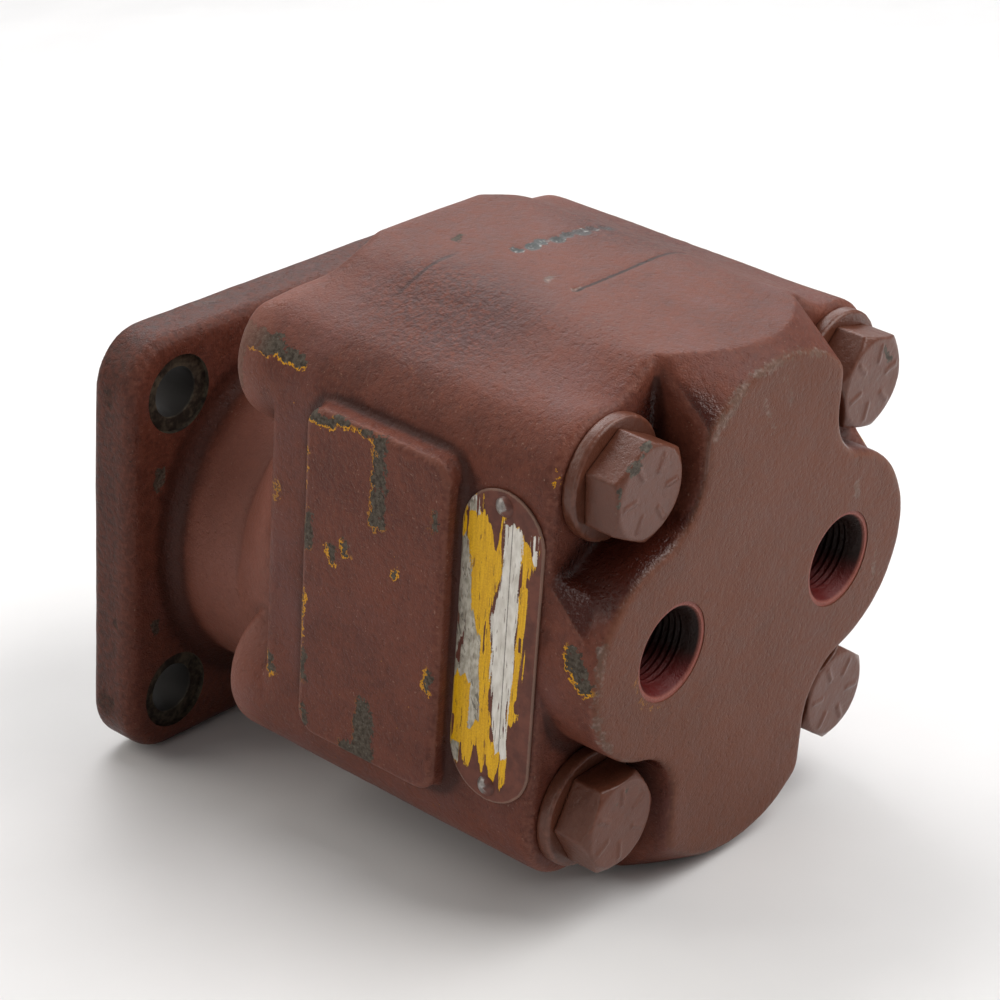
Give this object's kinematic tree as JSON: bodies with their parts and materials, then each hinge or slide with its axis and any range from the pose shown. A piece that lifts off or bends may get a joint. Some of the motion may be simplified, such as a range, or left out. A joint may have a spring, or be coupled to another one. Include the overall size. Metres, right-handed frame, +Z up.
{
  "type": "hydraulic gear pump",
  "caption": "External gear pump with a square bolted flange and round pilot, cast-iron body in sections, keyed drive shaft and threaded rear ports.",
  "frame": {"origin": "centre of the flange's mounting face, on the drive shaft's axis", "axes": "+Y from the flange to the rear cover along the shafts, with the drive shaft's end at -Y; +Z up, from the drive gear to the idler gear; +X to the nameplate side"},
  "size_m": [0.1386, 0.2124, 0.1603],
  "materials": {
    "painted_casting": "dull red-brown primer over sand-cast iron, chipped and scraped",
    "painted_fastener": "red-brown primer over steel, worn at the edges",
    "ground_steel": "ground and hardened",
    "gear_steel": "machined and hardened",
    "bearing_bronze": "bored and faced bronze",
    "seal_rubber": "black nitrile, satin",
    "spring_steel": "dark oiled steel",
    "nameplate_metal": "thin sheet, painted over and scraped bare in patches"
  },
  "bodies": {
    "housing": {"front_cover": "painted_casting", "gear_housing": "painted_casting", "rear_cover": "painted_casting", "front_drive_bushing": "bearing_bronze", "front_idler_bushing": "bearing_bronze", "rear_drive_bushing": "bearing_bronze", "rear_idler_bushing": "bearing_bronze", "front_wear_plate": "bearing_bronze", "rear_wear_plate": "bearing_bronze", "front_wear_plate_seal": "seal_rubber", "rear_wear_plate_seal": "seal_rubber", "front_section_seal": "seal_rubber", "rear_section_seal": "seal_rubber", "shaft_seal_lip": "seal_rubber", "shaft_seal_case": "spring_steel", "shaft_seal_spring": "spring_steel", "shaft_seal_snap_ring": "spring_steel", "nameplate": "nameplate_metal", "nameplate_screw_1": "nameplate_metal", "nameplate_screw_2": "nameplate_metal", "cover_bolt_1": "painted_fastener", "cover_bolt_2": "painted_fastener", "cover_bolt_3": "painted_fastener", "cover_bolt_4": "painted_fastener", "bolt_washer_1": "painted_fastener", "bolt_washer_2": "painted_fastener", "bolt_washer_3": "painted_fastener", "bolt_washer_4": "painted_fastener", "front_dowel_1": "gear_steel", "front_dowel_2": "gear_steel", "rear_dowel_1": "gear_steel", "rear_dowel_2": "gear_steel"},
    "drive_train": {"drive_shaft": "ground_steel", "drive_gear": "gear_steel", "drive_gear_key": "gear_steel"},
    "idler_train": {"idler_shaft": "ground_steel", "idler_gear": "gear_steel", "idler_gear_key": "gear_steel"}
  },
  "joints": [
    {"name": "drive_spin", "type": "hinge", "parent": "housing", "child": "drive_train", "pos_m": [0, 0, 0], "axis": [0, 1, 0], "continuous": true},
    {"name": "idler_spin", "type": "hinge", "parent": "housing", "child": "idler_train", "pos_m": [0, 0, 0.057], "axis": [0, 1, 0], "continuous": true}
  ],
  "couplings": [
    {"joint": "idler_spin", "follows": "drive_spin", "ratio": -1}
  ]
}
